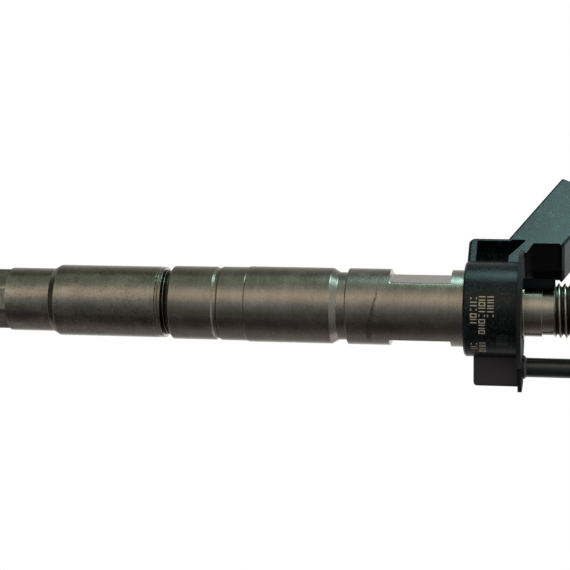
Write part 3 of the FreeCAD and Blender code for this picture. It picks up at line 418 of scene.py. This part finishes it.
def moulded(g, mm, colour, sheen):
    """Fine glitter of glass fibres in the moulded plastic, its grained return block with its colour lifted as
    painted light, the flange's plain rim, and painted shade in the deep recess under the arm: black, and
    reflecting almost nothing."""
    x, y, z, round_axis = g.parts(mm)
    rise = g.towards(x, y, UP)
    # painted shade: the deep recess under the arm and the tongue below it are coloured near black and made to
    # reflect almost nothing, a little less so towards the top of the view
    room = g.times(g.spread(g.size(y), 6.6, 6.7, 1.0, 0.0), g.spread(x, 17.6, 17.7, 1.0, 0.0))
    shell = g.spread(round_axis, 8.1, 8.2, 1.0, 0.0)
    recess_shade = g.times(g.spread(z, FLANGE_TOP + 0.02, FLANGE_TOP + 0.1), g.most(room, shell))
    recess_shade = g.times(recess_shade, g.spread(rise, 10.3, 10.6, 1.0, 0.78))
    # the return block's face: a rougher grained texture, and painted light that lifts its colour far above the
    # rest of the plastic
    grained_lit_block = g.times(g.spread(g.towards(x, y, LOBE), 5.0, 6.0),
                      g.spread(round_axis, COLLAR_RADIUS + 0.05, COLLAR_RADIUS + 0.2))
    grained_lit_block = g.times(grained_lit_block, g.spread(z, FLANGE_LOW - 0.05, FLANGE_LOW + 0.05, 1.0, 0.0))
    rim = g.times(g.spread(z, FLANGE_LOW - 0.05, FLANGE_LOW + 0.05),
                  g.spread(z, FLANGE_TOP, FLANGE_TOP + 0.05, 1.0, 0.0))
    rim = g.times(rim, g.spread(rise, 13.3, 13.4, 1.0, 0.0))
    dull = g.most(g.most(grained_lit_block, rim), recess_shade)

    flecks = g.spread(g.noise(mm, 0.6, 2.0, 0.7), 0.45, 0.67)
    clouds = g.spread(g.noise(mm, 3.0, 3.0, 0.65), 0.36, 0.66, 0.1, 0.75)
    glitter = g.times(g.times(flecks, clouds), g.math("SUBTRACT", 1.0, dull))
    colour = g.blend(glitter, colour, (0.066, 0.112, 0.110, 1.0))
    # painted light: the return block's face is lightened to a grey
    colour = g.blend(grained_lit_block, colour, (0.072, 0.067, 0.072, 1.0))
    # painted shade: the recess is coloured near black, and its Metallic below takes its reflection away
    colour = g.blend(recess_shade, colour, (0.003, 0.003, 0.003, 1.0))
    return colour, g.plus(sheen, g.times(dull, 0.4)), {"Metallic": g.most(glitter, recess_shade)}


STEEL = {"metallic": 1.0}
FINISHES = {
    "body_steel": finish("body_steel", (0.33, 0.30, 0.24), (0.50, 0.455, 0.375), (0.22, 0.34), blotch=5.0,
                         grain=0.4, bump=0.006, rings=0.2, ring_size=0.7, pits=0.12, wear=(0.62, 0.60, 0.54),
                         extra=stained, **STEEL),
    "nut_steel": finish("nut_steel", (0.31, 0.29, 0.235), (0.51, 0.475, 0.395), (0.19, 0.32), blotch=4.0,
                        grain=0.45, bump=0.008, rings=0.12, ring_size=0.6, pits=0.4,
                        wear=(0.62, 0.59, 0.52), **STEEL),
    "nozzle_steel": finish("nozzle_steel", (0.24, 0.24, 0.245), (0.40, 0.39, 0.38), (0.22, 0.36), blotch=2.5,
                           grain=0.2, rings=0.4, ring_size=0.3, wear=(0.6, 0.6, 0.6), **STEEL),
    "hard_steel": finish("hard_steel", (0.48, 0.48, 0.49), (0.62, 0.62, 0.63), (0.14, 0.26), blotch=3.0,
                         grain=0.15, bump=0.002, rings=0.5, ring_size=0.2, wear=(0.75, 0.75, 0.75), **STEEL),
    "spring_steel": finish("spring_steel", (0.22, 0.22, 0.235), (0.40, 0.40, 0.43), (0.24, 0.36), blotch=1.2,
                           grain=0.12, bump=0.003, **STEEL),
    "seal_copper": finish("seal_copper", (0.55, 0.24, 0.13), (0.82, 0.44, 0.28), (0.28, 0.46), blotch=2.0,
                          grain=0.2, bump=0.008, rings=0.3, wear=(0.92, 0.58, 0.42), **STEEL),
    "piezo_ceramic": finish("piezo_ceramic", (0.33, 0.27, 0.17), (0.46, 0.40, 0.28), (0.30, 0.45), blotch=6.0,
                            grain=0.25, bump=0.004, rings=0.7, ring_size=0.12,
                            **{"Coat Weight": 0.3, "Coat Roughness": 0.2}),
    "housing_plastic": finish("housing_plastic", (0.0012, 0.0016, 0.0017), (0.0045, 0.0062, 0.0065),
                              (0.23, 0.35), blotch=7.0, grain=0.3, bump=0.022, wear=(0.020, 0.024, 0.026),
                              extra=moulded, **{"Specular IOR Level": 0.34}),
    "insulator_plastic": finish("insulator_plastic", (0.60, 0.56, 0.44), (0.74, 0.70, 0.58), (0.38, 0.52),
                                blotch=4.0, grain=0.3, **{"Subsurface Weight": 0.1}),
    "terminal_metal": finish("terminal_metal", (0.62, 0.54, 0.36), (0.80, 0.74, 0.58), (0.20, 0.34), blotch=2.0,
                             grain=0.2, bump=0.003, wear=(0.85, 0.8, 0.66), **STEEL),
    "filter_steel": finish("filter_steel", (0.42, 0.42, 0.42), (0.58, 0.58, 0.57), (0.22, 0.36), blotch=2.0,
                           grain=0.15, rings=0.4, ring_size=0.15, **STEEL),
    "spigot_metal": finish("spigot_metal", (0.012, 0.020, 0.017), (0.034, 0.046, 0.040), (0.16, 0.28),
                           blotch=3.0, grain=0.3, bump=0.003, rings=0.2, wear=(0.10, 0.11, 0.10),
                           **{"Coat Weight": 0.5, "Coat Roughness": 0.12}),
    "seal_rubber": finish("seal_rubber", (0.010, 0.010, 0.010), (0.022, 0.022, 0.022), (0.45, 0.62), blotch=2.0,
                          grain=0.15, bump=0.006),
}
mark_ink = finish("etched_mark", (0.58, 0.48, 0.33), (0.86, 0.74, 0.54), (0.5, 0.7), blotch=0.8, grain=0.12,
                  bump=0.004)

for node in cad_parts.values():
    slot = node.data.materials[0].name
    node.data.materials[0] = FINISHES[slot]


def settle(piece, slot, *nodes, material=None):
    """Gives a piece its finish, and hides the CAD nodes that it stands for."""
    smooth(piece)
    piece.data.materials.clear()
    piece.data.materials.append(material or FINISHES[slot])
    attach(piece, "injector")
    if nodes:
        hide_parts(*nodes)


# ---------------------------------------------------------------- combustion seal and retaining nut

def make_seal():
    bm = bmesh.new()
    middle = (SEAL_HOLE, SEAL_THICK / 2)
    outline = soften([middle, (SEAL_HOLE, 0.0, 0.16), (SEAL_RADIUS, 0.0, 0.32), (SEAL_RADIUS, SEAL_THICK, 0.32),
                      (SEAL_HOLE, SEAL_THICK, 0.16), middle], 6)
    turn_band(bm, outline)
    settle(put(bm, "seal_ring"), "seal_copper", "seal_washer")


def make_nut():
    bm = bmesh.new()
    cut = flats(NUT_FLAT_HALF, FRONT, 8)
    steps = 14
    nose = [(NUT_NOSE + (NUT_SMALL - NUT_NOSE) * k / steps, NUT_END + NUT_NOSE_HIGH * k / steps)
            for k in range(steps + 1)]
    hole, face = (NUT_HOLE, NUT_SHOULDER), (NUT_NOSE - 0.1, NUT_END)
    turn_band(bm, vectors(hole, (NUT_HOLE, NUT_END), face))
    turn_band(bm, vectors(face, *nose, (NUT_SMALL, NUT_FLAT_TOP - 0.3), (NUT_SMALL, NUT_FLAT_TOP)), cut)
    join_rings(bm, ring(bm, lambda d: cut(d, NUT_SMALL), NUT_FLAT_TOP),
               ring(bm, NUT_SMALL, NUT_FLAT_TOP + HAIR))
    turn_band(bm, soften([
        (NUT_SMALL, NUT_FLAT_TOP + HAIR), (NUT_SMALL, 17.2), (NUT_SMALL, NUT_STEP_LOW, 0.3),
        (NUT_LARGE, NUT_STEP_TOP, 0.6), (NUT_LARGE, 57.2, 0.04), (NUT_GROOVE, 57.39, 0.04),
        (NUT_GROOVE, 57.61, 0.04), (NUT_RIM, 57.8, 0.04), (NUT_RIM, 57.92, 0.04), (NUT_GROOVE, 58.11, 0.04),
        (NUT_GROOVE, 58.33, 0.04), (NUT_RIM, 58.52, 0.04), (NUT_RIM, NUT_TOP, 0.06), (NUT_MAJOR, NUT_TOP)]))
    shape = [(0.0, NUT_MAJOR), (0.11, NUT_MAJOR), (0.2, 8.40), (0.33, 8.15), (0.38, NUT_MINOR),
             (0.5, NUT_MINOR)]
    thread_band(bm, NUT_THREAD_LOW, NUT_TOP, FINE_PITCH, FINE_LOW, shape, NUT_MINOR, NUT_MAJOR, 0.8)
    turn_band(bm, vectors((NUT_MINOR, NUT_THREAD_LOW), (NUT_MINOR, NUT_BORE_TOP), (NUT_BORE, NUT_BORE_TOP),
                          (NUT_BORE, NUT_SHOULDER), hole))
    settle(put(bm, "retaining_nut"), "nut_steel", "nozzle_nut")


# ---------------------------------------------------------------- injector body

def make_body():
    bm = bmesh.new()
    turn_band(bm, soften([(0, FOOT_LOW), (FOOT_RADIUS, FOOT_LOW, 0.3), (FOOT_RADIUS, FINE_START)]))
    fine = [(0.0, FINE_ROOT), (0.14, FINE_ROOT), (0.2, 8.1), (0.32, 8.33), (0.42, 8.47), (0.47, FINE_CREST),
            (0.5, FINE_CREST)]
    thread_band(bm, FINE_START, FINE_END, FINE_PITCH, FINE_LOW + FINE_PITCH / 2, fine, FOOT_RADIUS,
                FINE_END_RADIUS, 0.5)
    turn_band(bm, soften([
        (FINE_END_RADIUS, FINE_END), (FINE_CREST, 60.12, 0.05), (LOWER_RADIUS, 61.05, 0.3),
        (LOWER_RADIUS, 72.3, 0.12), (RING_RADIUS, 72.8, 0.1), (RING_RADIUS, 73.86, 0.05),
        (MIDDLE_RADIUS, 73.9, 0.12), (MIDDLE_RADIUS, 80.75, 0.06), (9.57, 80.85, 0.03),
        (BODY_RADIUS, 81.1, 0.12), (BODY_RADIUS, 103.1, 0.3), (NECK_RADIUS, 104.9, 0.2),
        (NECK_RADIUS, 107.0, 0.1), (BODY_RADIUS, 107.35, 0.2), (BODY_RADIUS, FLAT_LOW)]))

    # the clamp flats start in a rounded run-out and end at a square shoulder
    start = FLAT_LOW + HAIR
    turn_band(bm, vectors((BODY_RADIUS, FLAT_LOW), (BODY_RADIUS, start)))
    runout, edge = 0.6, 0.12
    rings = [ring(bm, BODY_RADIUS, start)]
    for a in (0, 15, 30, 50, 70, 90):
        cut = flats(FLAT_HALF + runout * (1 - math.sin(math.radians(a))), CLAMP_FLAT, 2)
        rings.append(ring(bm, lambda d: cut(d, BODY_RADIUS), start + runout * (1 - math.cos(math.radians(a)))))
    cut = flats(FLAT_HALF, CLAMP_FLAT, 2)
    rings += [ring(bm, lambda d: cut(d, BODY_RADIUS), z) for z in (FLAT_TOP - edge, FLAT_TOP)]
    rings.append(ring(bm, BODY_RADIUS, FLAT_TOP + HAIR))
    for low, high in zip(rings, rings[1:]):
        join_rings(bm, low, high)

    turn_band(bm, soften([
        (BODY_RADIUS, FLAT_TOP + HAIR), (BODY_RADIUS, 140.0, 0.1), (GLAND_RADIUS, 140.0, 0.1),
        (GLAND_RADIUS, 141.9, 0.1), (BODY_RADIUS, 141.9, 0.1), (BODY_RADIUS, 146.0, 0.15),
        (STUB_RADIUS, STUB_LOW, 0.15), (STUB_RADIUS, STUB_TOP, 0.15), (INLET_RADIUS, STUB_TOP, 0.08),
        (INLET_RADIUS, 157.0, 0.12), (INLET_RELIEF, 157.02, 0.08), (INLET_RELIEF, INLET_LOW)]))
    coarse = [(0.0, INLET_ROOT), (0.08, INLET_ROOT + 0.01), (0.16, INLET_ROOT + 0.08), (0.3, 6.38),
              (0.45, 6.65), (0.56, 6.86), (0.62, 6.93), (0.67, INLET_CREST), (INLET_PITCH / 2, INLET_CREST)]
    thread_band(bm, INLET_LOW, INLET_TOP, INLET_PITCH, INLET_FIRST, coarse, INLET_RELIEF, 6.65, 0.55)
    turn_band(bm, soften([
        (6.65, INLET_TOP), (5.9, INLET_END, 0.1), (4.0, INLET_END, 0.08), (FILTER_BORE, 169.0, 0.1),
        (FILTER_BORE, FILTER_FLOOR), (0, FILTER_FLOOR)]))
    body = put(bm, "injector_barrel")

    rise = FILTER_FLOOR + FILTER_BORE - FEED_BEND
    feed = (-FEED_OFFSET, 0)
    back = polar(RETURN_CIRCLE, LOBE)
    tools = [
        drill(ACTUATOR_BORE, TOOL_LOW, ACTUATOR_TOP, (ACTUATOR_OFFSET, 0)),
        drill(FEED_BORE, TOOL_LOW, FEED_BEND + FEED_BORE, feed),
        drill(FEED_BORE, FEED_BEND, FEED_BEND + math.hypot(FEED_OFFSET, rise), feed, (FEED_OFFSET, 0, rise)),
        drill(FEED_BORE, TOOL_LOW, RETURN_HIGH, back),
        drill(RETURN_BORE, RETURN_HIGH, RETURN_HIGH + 12.0, back, (*polar(1, LOBE), 0)),
    ]
    # the contact pins' bores, and the terminals' slots that lean out of them
    lean = Matrix.Rotation(math.radians(61.0), 4, "Y")
    for side in (PIN_SPREAD, -PIN_SPREAD):
        tools.append(drill(PIN_BORE, ACTUATOR_TOP - 1.0, 146.0, (PIN_OFFSET, side)))
        at = Matrix.Translation((0, 0, 144.5)) @ lean @ Matrix.Translation((1.5, side, 2.1))
        tools.append(bar(1.8, 2.0, 9.5, at))
    for degrees in DOWEL_ANGLES:
        tools.append(drill(DOWEL_BORE, TOOL_LOW, DOWEL_TOP, polar(DOWEL_CIRCLE, degrees)))
    carve(body, tools)
    settle(body, "body_steel", "injector_body")


# ---------------------------------------------------------------- return spigot and marks

def make_spigot():
    bm = bmesh.new()
    turn_band(bm, soften([
        (SPIGOT_BORE, 160.0), (SPIGOT_BORE, 146.5, 0.1), (SPIGOT_ROOT, 146.5, 0.15), (SPIGOT_ROOT, 148.0, 0.05),
        (2.05, 148.0, 0.05), (2.05, 149.7, 0.05), (SPIGOT_ROOT, 149.7, 0.05), (SPIGOT_ROOT, 152.0, 0.03),
        (3.1, 152.0, 0.05), (3.1, 152.5, 0.15), (SPIGOT_TUBE, 153.1, 0.3), (SPIGOT_TUBE, 165.4, 0.2),
        (2.95, 165.8, 0.3), (2.95, 166.8, 0.3), (SPIGOT_TUBE, 167.2, 0.2), (SPIGOT_TUBE, 170.6, 0.3),
        (2.0, 171.0, 0.12), (SPIGOT_BORE, 171.0, 0.12), (SPIGOT_BORE, 160.0)], 6), columns=128)
    settle(put(bm, "return_pipe_spigot", (*polar(SPIGOT_REACH, LOBE), 0)), "spigot_metal", "return_spigot")


def make_marks():
    """Rows of plain bars and boxes where a part carries its code: they spell nothing."""
    bm = bmesh.new()
    rng = random.Random(7)
    under, over = COLLAR_RADIUS - 0.05, COLLAR_RADIUS + 0.015

    def dash(low, high, start, end):
        """One stroke on the collar, between two heights and two angles."""
        steps = max(2, int((end - start) / 1.5))
        loops = []
        for k in range(steps + 1):
            a = start + (end - start) * k / steps
            x, y = polar(1.0, a)
            section = ((under, low), (over, low), (over, high), (under, high))
            loops.append([bm.verts.new((x * r, y * r, z)) for r, z in section])
        for a, b in zip(loops, loops[1:]):
            join_rings(bm, a, b)
        bm.faces.new(loops[0])
        bm.faces.new(loops[-1][::-1])

    high, thin = 1.65, 0.27          # a sign's height and its strokes' width in millimetres
    wide, gap = 5.2, 1.6             # a sign's width and the space after it in degrees
    turn = math.degrees(thin / COLLAR_RADIUS)
    rows = ((139.35, 119.0, 153.0), (141.45, 119.0, 163.0), (143.6, 119.0, 142.0), (139.4, 178.0, 190.0),
            (141.5, 178.0, 192.0))
    for low, start, end in rows:
        at = start
        while at < end:
            sort = rng.choice(("along", "across", "both"))
            if sort != "across":
                dash(low, low + high, at, at + turn)
                dash(low, low + high, at + wide - turn, at + wide)
            if sort != "along":
                dash(low, low + thin, at + turn, at + wide - turn)
                dash(low + high - thin, low + high, at + turn, at + wide - turn)
            at += wide + gap
    settle(put(bm, "plain_marks"), "housing_plastic", material=mark_ink)


make_seal()
make_nut()
make_body()
make_spigot()
make_marks()


# ---------------------------------------------------------------- camera

VIEW_DISTANCE, VIEW_HEIGHT = 0.4761, 0.17157     # metres from the axis and above the seal
PAN, TILT, ROLL = 9.7, 0.607, 1.25               # degrees
LENS, SENSOR = 116.84, 36.0

toward = Vector((*polar(1.0, FRONT), 0.0))
upward = Vector((*polar(1.0, UP), 0.0))
along = Vector((0.0, 0.0, 1.0))


def turned_pair(a, b, degrees):
    """Two directions at right angles, turned in their plane from a towards b."""
    c, s = math.cos(math.radians(degrees)), math.sin(math.radians(degrees))
    return a * c + b * s, b * c - a * s


ahead, right = turned_pair(-toward, -along, PAN)
right = -right
ahead, up = turned_pair(ahead, upward, TILT)
right, up = turned_pair(right, up, ROLL)
camera_data = bpy.data.cameras.new("camera")
camera_data.lens = LENS
camera_data.sensor_width = SENSOR
camera_data.clip_start = 0.01
camera_data.clip_end = 10.0
camera = bpy.data.objects.new("camera", camera_data)
bpy.context.scene.collection.objects.link(camera)
axes = Matrix((right, up, -ahead)).transposed().to_4x4()
camera.matrix_world = Matrix.Translation(toward * VIEW_DISTANCE + along * VIEW_HEIGHT) @ axes
bpy.context.scene.camera = camera


# ---------------------------------------------------------------- floor, light and background

FLOOR_RADIUS, FLOOR_LOW, FLOOR_TOP = 86, -20.2, -18.2


def make_floor():
    bm = bmesh.new()
    turn_band(bm, soften([(0, FLOOR_LOW), (FLOOR_RADIUS, FLOOR_LOW, 0.5), (FLOOR_RADIUS, FLOOR_TOP, 0.6),
                          (0, FLOOR_TOP)], 5), columns=192)
    floor = put(bm, "floor")
    smooth(floor)
    floor.data.materials.append(finish("floor_paint", (0.74, 0.74, 0.73), (0.80, 0.80, 0.79), (0.5, 0.65),
                                       blotch=12.0, grain=0.8, bump=0.01,
                                       **{"Emission Color": (1.0, 0.975, 0.965, 1.0),
                                          "Emission Strength": 0.38}))
    floor.visible_glossy = False


# angles about the axis, from the camera upwards, and the light that comes from there
SWEEP = [
    (-180, (1.0, 1.0, 1.0)), (-160, (0.85, 0.85, 0.85)), (-144, (0.31, 0.31, 0.32)),
    (-122, (0.21, 0.2, 0.21)), (-104, (0.18, 0.17, 0.18)), (-92, (0.119, 0.105, 0.115)),
    (-78, (0.059, 0.049, 0.053)), (-60, (0.029, 0.026, 0.031)), (-46, (0.046, 0.041, 0.049)),
    (-41, (0.112, 0.104, 0.109)), (-36, (0.055, 0.063, 0.059)), (-28, (0.077, 0.094, 0.08)),
    (-18, (0.126, 0.14, 0.129)), (-8, (0.19, 0.2, 0.21)), (2, (0.28, 0.29, 0.3)), (10, (0.46, 0.44, 0.41)),
    (18, (0.69, 0.61, 0.54)), (30, (0.77, 0.68, 0.61)), (40, (0.57, 0.52, 0.46)), (50, (0.33, 0.33, 0.29)),
    (62, (0.21, 0.24, 0.21)), (76, (0.16, 0.23, 0.18)), (84, (0.17, 0.21, 0.16)), (88, (0.26, 0.26, 0.2)),
    (93, (0.12, 0.12, 0.09)), (104, (0.077, 0.081, 0.071)), (120, (0.15, 0.15, 0.14)),
    (140, (0.31, 0.32, 0.31)), (160, (0.61, 0.61, 0.61)), (180, (1.0, 1.0, 1.0)),
]


def studio_light():
    """White behind everything, and round the axis a soft sweep of light: a warm bank above the front, shade
    below it, a pale ceiling, and a grey table that is dark at its middle."""
    world = bpy.data.worlds.new("studio")
    bpy.context.scene.world = world
    world.use_nodes = True
    g = Graph(world.node_tree)
    way = g.add("TexCoord").outputs["Generated"]
    front = g.add("VectorMath", {0: way, 1: toward}, operation="DOT_PRODUCT").outputs[1]
    above = g.add("VectorMath", {0: way, 1: upward}, operation="DOT_PRODUCT").outputs[1]
    height = g.add("SeparateXYZ", {0: way}).outputs[2]
    turn = g.math("DEGREES", g.math("ARCTAN2", above, front))
    light = g.ramp(g.spread(turn, -180.0, 180.0), [((a + 180) / 360, c) for a, c in SWEEP])
    top = g.spread(height, 0.62, 0.88, kind="SMOOTHSTEP")
    light = g.blend(top, light, (0.42, 0.47, 0.48, 1.0))
    table = g.times(g.spread(height, -0.6, -0.3, 1.0, 0.0, kind="SMOOTHSTEP"),
                    g.spread(front, 0.2, 0.45, 1.0, 0.5))
    light = g.blend(table, light, (0.26, 0.25, 0.235, 1.0))
    low = g.times(g.spread(height, -0.82, -0.7, 1.0, 0.0, kind="SMOOTHSTEP"),
                  g.spread(front, 0.2, 0.45, 1.0, 0.0))
    light = g.blend(low, light, (0.035, 0.033, 0.03, 1.0))
    seen = g.add("Background", {"Color": (1.0, 1.0, 1.0, 1.0), "Strength": 1.0}).outputs[0]
    lit = g.add("Background", {"Color": light, "Strength": 1.0}).outputs[0]
    rays = g.add("LightPath").outputs["Is Camera Ray"]
    mixed = g.add("MixShader", {0: rays, 1: lit, 2: seen}).outputs[0]
    out = g.add("OutputWorld")
    g.tree.links.new(mixed, out.inputs[0])


def soft_box(name, place, target, wide, high, radiance, colour):
    """A soft box that faces a point: wide across the injector, high along it."""
    data = bpy.data.lights.new(name, "AREA")
    data.shape = "RECTANGLE"
    data.size, data.size_y = wide, high
    data.energy = math.pi * radiance * wide * high
    data.color = colour
    lamp = bpy.data.objects.new(name, data)
    bpy.context.scene.collection.objects.link(lamp)
    back = (place - target).normalized()
    side = along.cross(back).normalized()
    axes = Matrix((side, back.cross(side), back)).transposed().to_4x4()
    lamp.matrix_world = Matrix.Translation(place) @ axes
    lamp.visible_camera = False


make_floor()
studio_light()
BOX_DISTANCE, BOX_HEIGHT = 0.35, 0.22
collar = along * 0.155
overhead = Vector((*polar(BOX_DISTANCE, FRONT - 88.0), BOX_HEIGHT))
below_back = Vector((*polar(BOX_DISTANCE, FRONT + 124.0), BOX_HEIGHT))
soft_box("cool_box", overhead, collar, 0.15, 0.20, 5.4, (0.58, 0.97, 1.0))
soft_box("low_box", below_back, collar, 0.17, 0.20, 0.4, (1.0, 0.96, 0.98))

scene = bpy.context.scene
scene.view_settings.view_transform = "Standard"
scene.view_settings.look = "None"
